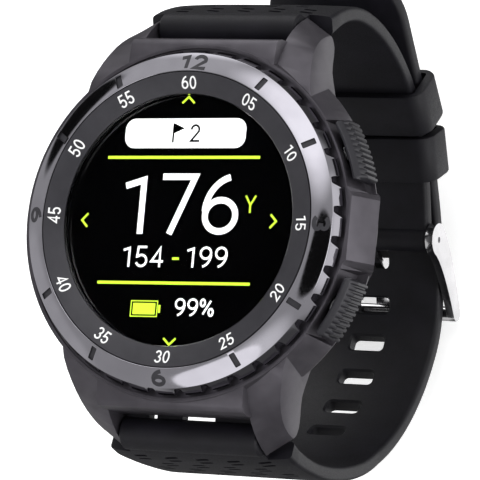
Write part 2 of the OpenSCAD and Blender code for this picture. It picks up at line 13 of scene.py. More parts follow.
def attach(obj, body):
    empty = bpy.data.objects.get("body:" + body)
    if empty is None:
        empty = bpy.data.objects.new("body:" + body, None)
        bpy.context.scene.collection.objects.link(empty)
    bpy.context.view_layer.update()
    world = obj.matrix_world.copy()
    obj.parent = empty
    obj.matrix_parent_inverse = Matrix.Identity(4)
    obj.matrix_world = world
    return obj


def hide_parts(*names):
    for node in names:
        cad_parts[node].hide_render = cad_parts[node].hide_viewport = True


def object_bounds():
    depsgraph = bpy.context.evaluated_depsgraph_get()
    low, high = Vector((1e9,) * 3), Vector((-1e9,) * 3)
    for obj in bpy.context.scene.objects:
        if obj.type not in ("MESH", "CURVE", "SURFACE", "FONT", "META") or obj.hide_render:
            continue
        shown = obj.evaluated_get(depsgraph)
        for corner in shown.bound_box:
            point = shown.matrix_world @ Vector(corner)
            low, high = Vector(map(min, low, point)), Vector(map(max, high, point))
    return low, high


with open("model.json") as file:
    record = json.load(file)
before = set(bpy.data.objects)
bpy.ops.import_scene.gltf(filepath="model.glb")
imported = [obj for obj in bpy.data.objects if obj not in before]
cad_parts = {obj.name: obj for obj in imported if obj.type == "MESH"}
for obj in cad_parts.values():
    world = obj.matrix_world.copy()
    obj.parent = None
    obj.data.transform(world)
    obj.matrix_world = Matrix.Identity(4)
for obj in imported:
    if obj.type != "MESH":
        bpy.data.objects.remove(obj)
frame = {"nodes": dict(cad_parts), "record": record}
CAD_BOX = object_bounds()
MM = 0.001
scene = bpy.context.scene
coll = scene.collection


# ---- helpers -----------------------------------------------------------------
def srgb(r, g, b):
    """Linear colour from 0-255 display values."""
    def lin(v):
        v /= 255.0
        return v / 12.92 if v <= 0.04045 else ((v + 0.055) / 1.055) ** 2.4
    return (lin(r), lin(g), lin(b), 1.0)


def new_object(name, verts, faces, mat=None, sharp=30):
    """Mesh object from points in millimetres."""
    me = bpy.data.meshes.new(name)
    me.from_pydata([(x * MM, y * MM, z * MM) for x, y, z in verts], [], faces)
    me.validate()
    o = bpy.data.objects.new(name, me)
    coll.objects.link(o)
    if mat:
        me.materials.append(mat)
    finish_mesh(o, sharp)
    return o


def finish_mesh(o, sharp=30, recalc=True):
    me = o.data
    if recalc:
        bm = bmesh.new()
        bm.from_mesh(me)
        bmesh.ops.recalc_face_normals(bm, faces=bm.faces)
        bm.to_mesh(me)
        bm.free()
    me.polygons.foreach_set("use_smooth", [True] * len(me.polygons))
    me.set_sharp_from_angle(angle=math.radians(sharp))
    me.update()


def apply_modifiers(o):
    deps = bpy.context.evaluated_depsgraph_get()
    me = bpy.data.meshes.new_from_object(o.evaluated_get(deps))
    o.modifiers.clear()
    old = o.data
    o.data = me
    bpy.data.meshes.remove(old)


def cut(o, *tools, op="DIFFERENCE", sharp=30, transfer=False):
    """Exact boolean of o with tools, which are removed afterwards."""
    for t in tools:
        m = o.modifiers.new("cut", "BOOLEAN")
        m.operation = op
        m.solver = "EXACT"
        if transfer:
            m.material_mode = "TRANSFER"
        m.object = t
    apply_modifiers(o)
    for t in tools:
        bpy.data.objects.remove(t)
    finish_mesh(o, sharp, recalc=False)


def join(name, parts):
    """One mesh object out of several that share a material list."""
    bm = bmesh.new()
    mats = []
    for p in parts:
        base = len(bm.faces)
        me = p.data
        bm.from_mesh(me)
        bm.faces.ensure_lookup_table()
        index = []
        for m in me.materials:
            if m not in mats:
                mats.append(m)
            index.append(mats.index(m))
        if index:
            for f in bm.faces[base:]:
                f.material_index = index[min(f.material_index, len(index) - 1)]
    me = bpy.data.meshes.new(name)
    bm.to_mesh(me)
    bm.free()
    for m in mats:
        me.materials.append(m)
    o = bpy.data.objects.new(name, me)
    coll.objects.link(o)
    for p in parts:
        bpy.data.objects.remove(p)
    return o


def revolve(name, profile, mat, steps, sharp):
    """Closed profile of (radius, z) turned once about Z."""
    n = len(profile)
    verts = []
    for i in range(steps):
        a = math.radians(360.0 * i / steps)
        c, s = math.cos(a), math.sin(a)
        verts += [(r * c, r * s, z) for r, z in profile]
    faces = []
    for i in range(steps):
        j = (i + 1) % steps
        for k in range(n):
            m = (k + 1) % n
            faces.append((i * n + k, j * n + k, j * n + m, i * n + m))
    return new_object(name, verts, faces, mat, sharp)


def prism(name, pts, z0, z1, mat=None, place=None, sharp=30):
    """Outline of (x, y) between two heights, then moved by place."""
    n = len(pts)
    verts = [(x, y, z0) for x, y in pts] + [(x, y, z1) for x, y in pts]
    faces = [tuple(range(n - 1, -1, -1)), tuple(range(n, 2 * n))]
    faces += [(i, (i + 1) % n, n + (i + 1) % n, n + i) for i in range(n)]
    if place is not None:
        verts = [tuple(place @ Vector(v)) for v in verts]
    return new_object(name, verts, faces, mat, sharp)


def round_corners(pts, radii, steps=4):
    """Outline with its corners rounded; radii is one number or one per corner."""
    n = len(pts)
    if not hasattr(radii, "__len__"):
        radii = [radii] * n
    out = []
    for i, r in enumerate(radii):
        p = Vector(pts[i])
        a, b = Vector(pts[i - 1]) - p, Vector(pts[(i + 1) % n]) - p
        la, lb = a.length, b.length
        a.normalize()
        b.normalize()
        half = a.angle(b) / 2
        if r <= 0 or half > math.radians(88):
            out.append(tuple(p))
            continue
        d = min(r / math.tan(half), la * 0.49, lb * 0.49)
        rr = d * math.tan(half)
        mid = (a + b).normalized()
        c = p + mid * (rr / math.sin(half))
        va, vb = p + a * d - c, p + b * d - c
        ang = va.angle(vb)
        sgn = 1 if va.x * vb.y - va.y * vb.x > 0 else -1
        for k in range(steps + 1):
            t = sgn * ang * k / steps
            out.append((c.x + va.x * math.cos(t) - va.y * math.sin(t),
                        c.y + va.x * math.sin(t) + va.y * math.cos(t)))
    return out


def rounded_box(w, h, r, steps=5):
    pts = [(-w / 2, -h / 2), (w / 2, -h / 2), (w / 2, h / 2), (-w / 2, h / 2)]
    return round_corners(pts, r, steps)


def cad_copy(node, name, mat, width, segments):
    """Copy of a CAD node with its sharp edges rounded."""
    src = frame["nodes"][node]
    me = bpy.data.meshes.new(name)
    bm = bmesh.new()
    bm.from_mesh(src.data)
    bmesh.ops.remove_doubles(bm, verts=bm.verts, dist=2e-6)
    bmesh.ops.dissolve_limit(bm, angle_limit=math.radians(0.6), verts=bm.verts,
                             edges=bm.edges)
    bm.to_mesh(me)
    bm.free()
    o = bpy.data.objects.new(name, me)
    coll.objects.link(o)
    me.materials.append(mat)
    m = o.modifiers.new("edge", "BEVEL")
    m.width = width * MM
    m.segments = segments
    m.limit_method = "ANGLE"
    m.angle_limit = math.radians(32)
    m.use_clamp_overlap = True
    apply_modifiers(o)
    finish_mesh(o, 35, recalc=False)
    return o


def add_piece(o, body, slot, *nodes):
    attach(o, body)
    if nodes:
        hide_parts(*nodes)
    return o


# ---- materials ---------------------------------------------------------------
class Mat:
    """Small builder of a node material round one Principled shader."""

    def __init__(self, name, **sockets):
        self.mat = bpy.data.materials.new(name)
        self.mat.use_nodes = True
        self.tree = self.mat.node_tree
        self.bsdf = self.tree.nodes["Principled BSDF"]
        for key, value in sockets.items():
            self.bsdf.inputs[key.replace("_", " ")].default_value = value
        self.coord = self.node("ShaderNodeTexCoord")

    def node(self, kind, **values):
        n = self.tree.nodes.new(kind)
        for key, value in values.items():
            n.inputs[key.replace("_", " ")].default_value = value
        return n

    def link(self, a, out, b, inp):
        self.tree.links.new(a.outputs[out], b.inputs[inp])

    def noise(self, scale, detail=3.0, rough=0.6):
        """Noise in object space; scale in waves per metre."""
        n = self.node("ShaderNodeTexNoise", Scale=scale, Detail=detail, Roughness=rough)
        self.link(self.coord, "Object", n, "Vector")
        return n

    def vary(self, socket, noise, low, high):
        """Drive a socket between two numbers or two colours."""
        r = self.node("ShaderNodeValToRGB")
        for k, (place, value) in enumerate(((0.35, low), (0.65, high))):
            stop = r.color_ramp.elements[k]
            stop.position = place
            stop.color = value if hasattr(value, "__len__") else (value, value, value, 1)
        self.link(noise, "Fac", r, "Fac")
        self.link(r, "Color", self.bsdf, socket)

    def bump(self, noise, strength, depth):
        b = self.node("ShaderNodeBump", Strength=strength, Distance=depth)
        self.link(noise, "Fac", b, "Height")
        self.link(b, "Normal", self.bsdf, "Normal")


def satin_metal(name, low, high, rough=(0.34, 0.44), metallic=0.75):
    m = Mat(name, Metallic=metallic)
    m.vary("Base Color", m.noise(260, 2), low, high)
    fine = m.noise(9000, 4, 0.7)
    m.vary("Roughness", fine, rough[0], rough[1])
    m.bump(fine, 0.10, 0.00002)
    return m.mat


def polished(name, low, high, rough=(0.07, 0.13)):
    m = Mat(name, Metallic=1.0)
    m.vary("Base Color", m.noise(180, 2), low, high)
    n = m.noise(2500, 3, 0.6)
    m.vary("Roughness", n, rough[0], rough[1])
    m.bump(n, 0.02, 0.00001)
    return m.mat


def moulded(name, low, high, rough=(0.45, 0.6), grain=7000, depth=0.00002,
            strength=0.15, **kw):
    m = Mat(name, **kw)
    m.vary("Base Color", m.noise(300, 3), low, high)
    fine = m.noise(grain, 3, 0.6)
    m.vary("Roughness", fine, rough[0], rough[1])
    m.bump(fine, strength, depth)
    return m.mat


def lit(name, colour):
    """Part of the picture on the display."""
    m = Mat(name, Roughness=0.4, Emission_Strength=1.0, Base_Color=colour)
    dimmer = tuple(c * 0.97 for c in colour[:3]) + (1,)
    m.vary("Emission Color", m.noise(6000, 1), dimmer, colour)
    return m.mat


CASE = satin_metal("case_satin", srgb(68, 65, 71), srgb(78, 75, 81), (0.36, 0.44), 0.6)
BEZEL = polished("bezel_polished", srgb(148, 146, 153), srgb(156, 154, 161), (0.05, 0.09))
BEZEL_MARK = moulded("bezel_marks", srgb(40, 39, 44), srgb(48, 47, 52), (0.5, 0.65), Metallic=0.2)
RING = moulded("ring_satin", srgb(46, 45, 50), srgb(52, 51, 56), (0.40, 0.5), Metallic=0.3)
RING_INK = moulded("ring_ink", srgb(235, 235, 235), srgb(245, 245, 245), (0.5, 0.6))
SILICONE = moulded("strap_silicone", srgb(14, 13, 18), srgb(20, 19, 25), (0.46, 0.62), 5200,
                   0.00003, 0.22, Specular_IOR_Level=0.28)
PUSHER = moulded("pusher_satin", srgb(34, 33, 38), srgb(42, 41, 46), (0.34, 0.46), Metallic=0.3)
CHROME = polished("buckle_polished", srgb(205, 204, 206), srgb(222, 221, 223), (0.12, 0.2))
STEEL = polished("plain_steel", srgb(165, 165, 168), srgb(185, 185, 188), (0.25, 0.38))
SEAL = moulded("seal_rubber", srgb(26, 26, 27), srgb(34, 34, 35))
MOULDING = moulded("black_moulding", srgb(38, 38, 40), srgb(48, 48, 50))
GOLD = polished("contact_gold", srgb(222, 180, 95), srgb(236, 198, 118), (0.16, 0.26))
FLEX = moulded("flex_strip", srgb(190, 120, 40), srgb(205, 135, 52), (0.3, 0.4))
BOARD = moulded("board_mask", srgb(20, 88, 58), srgb(28, 104, 68), (0.28, 0.4))
ANTENNA = polished("antenna_copper", srgb(196, 138, 96), srgb(214, 156, 112), (0.25, 0.35))
CELL = satin_metal("cell_foil", srgb(150, 156, 164), srgb(176, 182, 190), (0.3, 0.45))
WEIGHT = satin_metal("weight_metal", srgb(120, 116, 108), srgb(140, 136, 126))
PANEL = moulded("display_panel", srgb(1, 1, 3), srgb(3, 3, 5), (0.3, 0.35),
                Specular_IOR_Level=0.05)
LIT_WHITE = lit("display_white", (0.93, 0.94, 0.94, 1))
LIT_LIME = lit("display_lime", srgb(206, 240, 60))

SLOT_MATS = {
    "case": CASE, "bezel": BEZEL, "ring": RING, "display": PANEL,
    "silicone": SILICONE, "pusher": PUSHER, "polished_steel": CHROME,
    "steel": STEEL, "seal": SEAL, "moulding": MOULDING, "gold": GOLD,
    "flex": FLEX, "board": BOARD, "antenna": ANTENNA, "cell": CELL,
    "weight": WEIGHT,
}
# the index is below real glass, to weaken what the crystal mirrors over the display
glass = Mat("crystal_glass", Roughness=0.02, IOR=1.3, Transmission_Weight=1.0)
glass.vary("Base Color", glass.noise(50, 1), (0.97, 0.98, 0.98, 1), (1, 1, 1, 1))
SLOT_MATS["crystal"] = glass.mat

for part in frame["record"]["subparts"]:
    ob = frame["nodes"][part["node"]]
    mat = SLOT_MATS[part["material_slot"]]
    if not ob.material_slots:
        ob.data.materials.append(mat)
    for s in ob.material_slots:
        s.material = mat

# ---- camera and light --------------------------------------------------------
RIGHT = Vector((0.895, 0.094, -0.437))
UP = Vector((-0.031, 0.988, 0.151))
BACK = Vector((0.446, -0.122, 0.887))
EYE = Vector((275.4, -75.1, 540.8)) * MM
VIEW_SLOPE = 0.055363   # half the view's width over its distance
cam_data = bpy.data.cameras.new("camera")
cam_data.sensor_width = 36.0
cam_data.angle = 2 * math.atan(VIEW_SLOPE)
cam_data.clip_start = 0.05
cam_data.clip_end = 20.0
cam = bpy.data.objects.new("camera", cam_data)
coll.objects.link(cam)
axes = Matrix((RIGHT.normalized(), UP.normalized(), BACK.normalized())).transposed()
cam.matrix_world = Matrix.Translation(EYE) @ axes.to_4x4()
scene.camera = cam

FLOOR_HALF = 2000
floor_z = (CAD_BOX[0][2] - 0.0002) / MM
floor_mat = Mat("floor_paper", Roughness=0.9, Emission_Strength=0.55)
floor_mat.vary("Base Color", floor_mat.noise(40, 3), (0.90, 0.90, 0.90, 1),
               (0.92, 0.92, 0.92, 1))
floor_mat.bsdf.inputs["Emission Color"].default_value = (1, 1, 1, 1)
floor = new_object("floor", [(x * FLOOR_HALF, y * FLOOR_HALF, floor_z)
                             for x, y in ((-1, -1), (1, -1), (1, 1), (-1, 1))],
                   [(0, 1, 2, 3)], floor_mat.mat)
floor.visible_glossy = False

# white backdrop all round, seen by the camera only: it lights nothing and isn't mirrored
DOME_R, DOME_SIDES = 1900, 36
sky_mat = Mat("backdrop_paper", Roughness=0.9, Emission_Strength=1.0)
sky_mat.bsdf.inputs["Base Color"].default_value = (0, 0, 0, 1)
sky_mat.bsdf.inputs["Emission Color"].default_value = (1, 1, 1, 1)
rows = [(DOME_R * math.cos(math.radians(e)), DOME_R * math.sin(math.radians(e)))
        for e in range(-5, 91, 5)]
dome_verts = [(r * math.cos(math.radians(a)), r * math.sin(math.radians(a)), h)
              for r, h in rows for a in range(0, 360, 360 // DOME_SIDES)]
dome_faces = [(i * DOME_SIDES + k, i * DOME_SIDES + (k + 1) % DOME_SIDES,
               (i + 1) * DOME_SIDES + (k + 1) % DOME_SIDES, (i + 1) * DOME_SIDES + k)
              for i in range(len(rows) - 1) for k in range(DOME_SIDES)]
backdrop = new_object("backdrop", dome_verts, dome_faces, sky_mat.mat)
for flag in ("visible_diffuse", "visible_glossy", "visible_transmission", "visible_shadow"):
    setattr(backdrop, flag, False)


# where the flat crystal mirrors the surround towards the camera
MIRRORED = (-BACK.x, -BACK.y, BACK.z)
# direction, inner and outer angle in degrees, brightness. Set for the main view.
STUDIO = [
    ((0.0, 0.0, -1.0), 35, 65, 0.2),
    ((-0.1, 0.85, -0.55), 34, 48, 0.1),
    ((0.13, -0.88, -0.44), 28, 40, 0.12),
    ((0.92, 0.05, -0.36), 20, 32, 1.4),
    ((0.45, 0.12, -0.88), 18, 32, 1.25),
    ((-0.48, 0.72, 0.50), 10, 28, 0.95),
    ((-0.30, 0.94, 0.12), 14, 25, 2.4),
    ((0.02, -0.55, 0.83), 4, 20, 1.4),
    ((0.12, 0.60, 0.79), 9, 27, 2.5),
    ((-0.16, -0.60, 0.79), 14, 15.5, 2.1),
    ((0.34, -0.03, 0.94), 12, 14, 0.01),
    ((-0.84, 0.45, 0.30), 10, 13.5, 0.01),
    ((-0.95, -0.25, 0.25), 14, 22, 0.8),
    (MIRRORED, 15, 20, 0.0),
    ((0.9, 0.1, 0.2), 20, 35, 1.0),
]
SURROUND = 0.62


def build_world():
    """Studio surround: grey with bright and dark patches."""
    w = bpy.data.worlds.new("studio")
    scene.world = w
    w.use_nodes = True
    t = w.node_tree
    bg = t.nodes["Background"]
    coord = t.nodes.new("ShaderNodeTexCoord")

    def patch(direction, inner, outer):
        """1 inside the inner angle of a direction, 0 beyond the outer angle."""
        d = t.nodes.new("ShaderNodeVectorMath")
        d.operation = "DOT_PRODUCT"
        t.links.new(coord.outputs["Generated"], d.inputs[0])
        d.inputs[1].default_value = Vector(direction).normalized()
        m = t.nodes.new("ShaderNodeMapRange")
        m.interpolation_type = "SMOOTHSTEP"
        m.inputs["From Min"].default_value = math.cos(math.radians(outer))
        m.inputs["From Max"].default_value = math.cos(math.radians(inner))
        t.links.new(d.outputs["Value"], m.inputs["Value"])
        return m

    base = t.nodes.new("ShaderNodeValue")
    base.outputs[0].default_value = SURROUND
    total = base.outputs[0]
    for direction, inner, outer, level in STUDIO:
        p = patch(direction, inner, outer)
        mix = t.nodes.new("ShaderNodeMix")
        mix.data_type = "FLOAT"
        t.links.new(p.outputs["Result"], mix.inputs[0])
        t.links.new(total, mix.inputs[2])
        mix.inputs[3].default_value = level
        total = mix.outputs[0]
    t.links.new(total, bg.inputs["Strength"])
    bg.inputs["Color"].default_value = (1, 1, 1, 1)


build_world()


def area_light(name, place, size, power, target=(0, 0, -15)):
    d = bpy.data.lights.new(name, "AREA")
    d.shape = "DISK"
    d.size = size
    d.energy = power
    o = bpy.data.objects.new(name, d)
    coll.objects.link(o)
    o.location = Vector(place) * MM
    aim = Vector(target) * MM - o.location
    o.rotation_euler = aim.to_track_quat("-Z", "Y").to_euler()
    return o


key = area_light("key", (-200, 60, 930), 0.5, 3.4)
key.visible_glossy = False
key.visible_transmission = False
side = area_light("side", (700, -100, 120), 0.5, 1.6)
side.visible_transmission = False
scene.view_settings.view_transform = "Standard"
scene.view_settings.look = "None"

# ---- strap paths (the CAD's own arcs) ----------------------------------------
STRAP_WIDE, STRAP_NARROW, STRAP_T = 14.25, 11.0, 2.2
BARREL_R, BARREL_HALF, BORE_R = 2.3, 10.78, 0.95
BAR_Y, BAR_Z = 29.0, 1.5
UP_START = (BAR_Y, BAR_Z, -54.3)
UP_ARCS = [(27.26, -33.9), (43.3, -30.0), (18, -34.7), (62.4, -14.16)]
LOW_START = (-BAR_Y, BAR_Z, -123.2)
LOW_ARCS = [(12.85, 25), (69.8, 22.2), (33.7, 54.3), (14.4, 30.2),
            (49.3, 18.7), (10.24, 0), (20.63, 14), (25, 0)]
PIN = (6.87, -48.16)
SLOT0, SLOT_PITCH, SLOT_W, SLOT_L = 77.95, 6.45, 5.5, 2.4
TONGUE_TURN = -20.5
DENT_PITCH = 4.9


def strap_path(start, arcs, turn_step=1.5, run_step=0.8):
    """Points (y, z, heading, length) along tangent arcs."""
    y, z, h = start
    s = 0.0
    pts = [(y, z, h, s)]
    for r, turn in arcs:
        if turn == 0:
            n = max(2, math.ceil(r / run_step))
            for i in range(1, n + 1):
                d = r * i / n
                pts.append((y + d * math.cos(math.radians(h)),
                            z + d * math.sin(math.radians(h)), h, s + d))
            y, z, _, s = pts[-1]
            continue
        g = 1 if turn > 0 else -1
        cy = y - g * r * math.sin(math.radians(h))
        cz = z + g * r * math.cos(math.radians(h))
        n = max(2, math.ceil(abs(turn) / turn_step))
        for i in range(1, n + 1):
            a = h + turn * i / n
            pts.append((cy + g * r * math.sin(math.radians(a)),
                        cz - g * r * math.cos(math.radians(a)), a,
                        s + r * abs(math.radians(turn)) * i / n))
        y, z, h, s = pts[-1]
    return pts


UP_PATH = strap_path(UP_START, UP_ARCS)
LOW_PATH = strap_path(LOW_START, LOW_ARCS)


def at_length(path, s):
    for a, b in zip(path, path[1:]):
        if b[3] >= s:
            f = (s - a[3]) / (b[3] - a[3])
            return tuple(p + (q - p) * f for p, q in zip(a, b))
    return path[-1]


def half_thick(s):
    """Half thickness on the wrist side; the outer side is thinner at the case."""
    return (STRAP_T + 1.8 * max(0.0, 1 - s / 16) ** 2) / 2


def half_outer(s):
    return (half_thick(s) + STRAP_T / 2) / 2


def half_width(y, z, lower):
    if lower and y > 0:
        return STRAP_NARROW
    return STRAP_WIDE - (STRAP_WIDE - STRAP_NARROW) * min(1.0, max(0.0, (-3 - z) / 34.0))


def section(w, t, top, edge, drop=0.0, steps=4):
    """Strap section as (x, across) points: round edges and a low crown outside."""
    def corner(cx, cy, a0):
        return [(cx + edge * math.cos(math.radians(a0 + 90 * i / steps)),
                 cy + edge * math.sin(math.radians(a0 + 90 * i / steps)))
                for i in range(steps + 1)]
    low, high, side = edge - t, top - drop - edge, w - edge
    crown = []
    for i in range(1, 16):
        x = side * (1 - i / 8)
        crown.append((x, top - drop * abs(x / side) ** 4))
    return (corner(-side, low, 180) + corner(side, low, 270) + corner(side, high, 0)
            + crown + corner(-side, high, 90))


def sweep(name, stations, mat, sharp=40):
    """Skin over closed sections of equal size; stations are lists of points."""
    n = len(stations[0])
    verts = [p for st in stations for p in st]
    faces = []
    for i in range(len(stations) - 1):
        for k in range(n):
            m = (k + 1) % n
            faces.append((i * n + k, (i + 1) * n + k, (i + 1) * n + m, i * n + m))
    faces.append(tuple(range(n - 1, -1, -1)))
    base = (len(stations) - 1) * n
    faces.append(tuple(base + k for k in range(n)))
    return new_object(name, verts, faces, mat, sharp)


def strap_station(p, w, edge, lower):
    """Section at a path point; the lower half has its outer face on the other side."""
    h = math.radians(p[2])
    drop = 0.55 * max(0.0, 1 - p[3] / 18) if w > 11.5 else 0.0
    pts = section(w, half_thick(p[3]), half_outer(p[3]), min(edge, 0.4 * w), drop)
    if lower:
        pts = [(x, -v) for x, v in reversed(pts)]
    return [(x, p[0] - v * math.sin(h), p[1] + v * math.cos(h)) for x, v in pts]


def frame_at(p):
    """Local frame on the strap: x across, y along, z out of the left of the path."""
    h = math.radians(p[2])
    return Matrix(((1, 0, 0, 0),
                   (0, math.cos(h), -math.sin(h), p[0]),
                   (0, math.sin(h), math.cos(h), p[1]),
                   (0, 0, 0, 1)))


def rod_x(name, y, z, r, x0, x1, mat=None, steps=48, edge=0.0):
    """Round bar along X with softened ends."""
    prof = [(x0, r - edge), (x0 + edge, r), (x1 - edge, r), (x1, r - edge)] if edge else \
        [(x0, r), (x1, r)]
    stations = []
    for x, rr in prof:
        stations.append([(x, y + rr * math.cos(2 * math.pi * k / steps),
                          z + rr * math.sin(2 * math.pi * k / steps)) for k in range(steps)])
    return sweep(name, stations, mat, 50)


def strap_half(name, path, lower):
    """Strap half: wide band, narrow end between the lugs and a barrel; its bores are cut
    afterwards.
    """
    sgn = -1 if lower else 1
    wide = [p for p in path if p[3] >= 1.0]
    wide.insert(0, at_length(path, 0.9))
    last = path[-1][3]
    stations = []
    for p in wide:
        w = half_width(p[0], p[1], lower)
        if lower:
            left = last - p[3]
            if left < STRAP_NARROW:
                bow = math.sqrt(max(0.0, STRAP_NARROW ** 2 - (STRAP_NARROW - left) ** 2))
                w = min(w, 1.0 + bow * 10.0 / STRAP_NARROW)
        stations.append(strap_station(p, w, 0.62, lower))
    band = sweep(name, stations, SILICONE)
    barrel = rod_x("barrel", sgn * BAR_Y, BAR_Z, BARREL_R, -BARREL_HALF, BARREL_HALF,
                   SILICONE, edge=0.25)
    cut(band, barrel, op="UNION", sharp=40)
    lips = []
    for x0, x1 in ((-10.6, -7.1), (-5.8, -1.8), (3.3, 10.6)):
        block = [(25.7, 0.3), (27.6, 0.3), (27.6, 2.0), (25.7, 2.0)]
        ends = [[(x, sgn * y, z) for y, z in block] for x in (x0, x1)]
        lips.append(sweep("lip", ends, SILICONE))
    cut(band, *lips, op="UNION", sharp=40)
    wing = [(38, 4.2), (31.4, -0.6), (28.6, -1.6), (26, -2.4), (22, 12), (38, 12)]
    sides = []
    for g in (-1, 1):
        x0, x1 = sorted((g * 10.8, g * 16.8))
        ends = [[(x, sgn * y, z) for y, z in wing] for x in (x0, x1)]
        sides.append(sweep("wing", ends, SILICONE))
    cut(band, *sides, sharp=40)
    return band


def slot_tool(p, w, l, deep, flare=0.0, r=0.7, turn=None):
    """Cutter through the strap at a path point; flare widens it at both faces."""
    place = frame_at(p if turn is None else (p[0], p[1], turn, p[3]))
    out = rounded_box(w, l, r, 4)
    big = rounded_box(w + 2 * flare, l + 2 * flare, r + flare, 4)
    rows = [(big, -deep), (big, -1.12), (out, -0.85), (out, 0.85), (big, 1.12), (big, deep)]
    stations = [[tuple(place @ Vector((x, y, z))) for x, y in o] for o, z in rows]
    return sweep("slot", stations, SILICONE)


def dents(path, lower=False):
    """Shallow pairs of slanted marks on the outer face, in rows near the case."""
    out = []
    for row, s in enumerate((4.6, 8.4, 12.2, 16.0)):
        p = at_length(path, s)
        top = half_outer(p[3]) * (-1 if lower else 1)
        deep, clear = (-0.9, 0.5) if lower else (-0.5, 0.9)
        for col in (-2, -1, 0, 1, 2):
            x = col * DENT_PITCH + (DENT_PITCH / 2 if row % 2 else 0.0)
            if abs(x) > 10.5:
                continue
            for g in (-0.75, 0.75):
                m = frame_at(p) @ Matrix.Translation((x, g * 1.0, top)) @ \
                    Matrix.Rotation(math.radians(-14), 4, "Z")
                mark = rounded_box(2.3, 0.62, 0.3, 3)
                out.append(prism("dent", mark, deep, clear, SILICONE, m))
    return [join("dents", out)]


# ---- strap, slot half --------------------------------------------------------
low = strap_half("strap_with_slots", LOW_PATH, True)
tools = [slot_tool(at_length(LOW_PATH, SLOT0 - k * SLOT_PITCH), SLOT_W, SLOT_L, 3.0,
                   0.3 if k else 0.0, turn=None if k else TONGUE_TURN)
         for k in range(-2, 6)]
tools += dents(LOW_PATH, True)
tools.append(rod_x("bore", -BAR_Y, BAR_Z, BORE_R, -12, 12))
cut(low, *tools, sharp=40)
add_piece(low, "case", "silicone", "strap_slot_half")

# ---- strap, buckle half ------------------------------------------------------
upper = strap_half("strap_with_buckle", UP_PATH, False)
cut(upper, rod_x("end", PIN[0], PIN[1], 1.9, -10.9, 10.9, SILICONE, edge=0.3), op="UNION",
    sharp=40)
notch = prism("notch", rounded_box(4.8, 6.4, 0.8), -4, 4,
              place=Matrix.Translation((0, PIN[0] - 0.8, PIN[1])))
cut(upper, notch, *dents(UP_PATH), rod_x("bore", BAR_Y, BAR_Z, BORE_R, -12, 12),
    rod_x("bore2", PIN[0], PIN[1], 0.85, -12, 12), sharp=40)
add_piece(upper, "case", "silicone", "strap_buckle_half")


# ---- keepers -----------------------------------------------------------------
def keeper(name, y, z, turn, y0, y1):
    """Rubber loop round both strap layers."""
    mid = (y0 + y1) / 2
    inner = rounded_box(23.2, y1 - y0, 0.6, 6)
    outer = rounded_box(25.6, y1 - y0 + 1.8, 2.4, 6)
    a = math.radians(turn)
    t = Vector((0, math.cos(a), math.sin(a)))
    u = Vector((0, math.sin(a), -math.cos(a)))
    c = Vector((0, y, z))
    e = 0.3
    half = KEEPER_W / 2

    def ring(outline, d, scale_in=0.0):
        pts = []
        for x, v in outline:
            lx = x - math.copysign(scale_in, x)
            lv = v - math.copysign(scale_in, v)
            pts.append(tuple(c + t * d + u * (lv + mid) + Vector((lx, 0, 0))))
        return pts

    loops = [ring(outer, -half + e), ring(outer, -half + 0.09, 0.09), ring(outer, -half, e),
             ring(inner, -half, -0.2), ring(inner, -half + 0.2),
             ring(inner, half - 0.2), ring(inner, half, -0.2),
             ring(outer, half, e), ring(outer, half - 0.09, 0.09), ring(outer, half - e)]
    n = len(outer)
    verts = [p for lp in loops for p in lp]
    faces = []
    for i in range(len(loops)):
        j = (i + 1) % len(loops)
        for k in range(n):
            m = (k + 1) % n
            faces.append((i * n + k, i * n + m, j * n + m, j * n + k))
    return new_object(name, verts, faces, SILICONE, 40)


KEEPER_W = 6.9
BEND = (13.14, -26.86)     # centre of the bend that the free keeper slides along
FREE_R, FREE_TURN = 19.2, 43
k1 = keeper("keeper_fixed", 19.56, -45.68, 27, -3.25, 2.9)
add_piece(k1, "case", "silicone", "fixed_keeper")
k2 = keeper("keeper_free", BEND[0] + FREE_R * math.sin(math.radians(FREE_TURN)),
            BEND[1] - FREE_R * math.cos(math.radians(FREE_TURN)), FREE_TURN, -2.95, 3.4)
add_piece(k2, "free_keeper", "silicone", "free_keeper")

# ---- buckle ------------------------------------------------------------------
b = cad_copy("buckle_frame", "buckle_loop", CHROME, 0.28, 3)
add_piece(b, "buckle_frame", "polished_steel", "buckle_frame")
b = cad_copy("buckle_tongue", "buckle_pin", CHROME, 0.25, 3)
add_piece(b, "buckle_tongue", "polished_steel", "buckle_tongue")

# ---- case --------------------------------------------------------------------
case = cad_copy("case_body", "case_shell", CASE, 0.12, 2)
add_piece(case, "case", "case", "case_body")

# ---- bezel -------------------------------------------------------------------
NOTCHES = 36
BEZEL_IN, BEZEL_OUT = (20.8, 13.82), (23.52, 12.6)   # ends of its sloping face
prof = round_corners([(20.66, 10.3), (23.4, 10.3), (23.6, 10.6), (24.3, 10.6),
                      BEZEL_OUT, BEZEL_IN, (20.8, 12.2), (20.66, 12.2)],
                     [0, 0, 0, 0.12, 0.10, 0.08, 0, 0], 3)
bezel = revolve("bezel_turning", prof, BEZEL, 720, 25)
bezel.data.materials.append(BEZEL_MARK)
notch_pts = round_corners([(24.9, 0.78), (23.95, 0.74), (23.58, 0.60), (23.55, -0.10),
                           (23.68, -0.38), (24.9, -1.58)], [0, 0.3, 0.3, 0.3, 0.25, 0], 3)
tools = []
for i in range(NOTCHES):
    turn = Matrix.Rotation(math.radians(360 / NOTCHES * (i + 0.5)), 4, "Z")
    tools.append(prism("notch", notch_pts, 9, 12.42, BEZEL, turn))
for h in (1, 2, 4, 5, 7, 8, 10, 11):
    turn = Matrix.Rotation(math.radians(90 - 30 * h), 4, "Z")
    tilt = Matrix.Rotation(math.radians(24.2), 4, "Y")
    m = turn @ Matrix.Translation((22.1, 0, 13.11)) @ tilt
    tools.append(prism("bar", rounded_box(2.06, 0.9, 0.12, 2), -0.12, 1.0, BEZEL_MARK, m))
cut(bezel, join("cutter", tools), sharp=25, transfer=True)
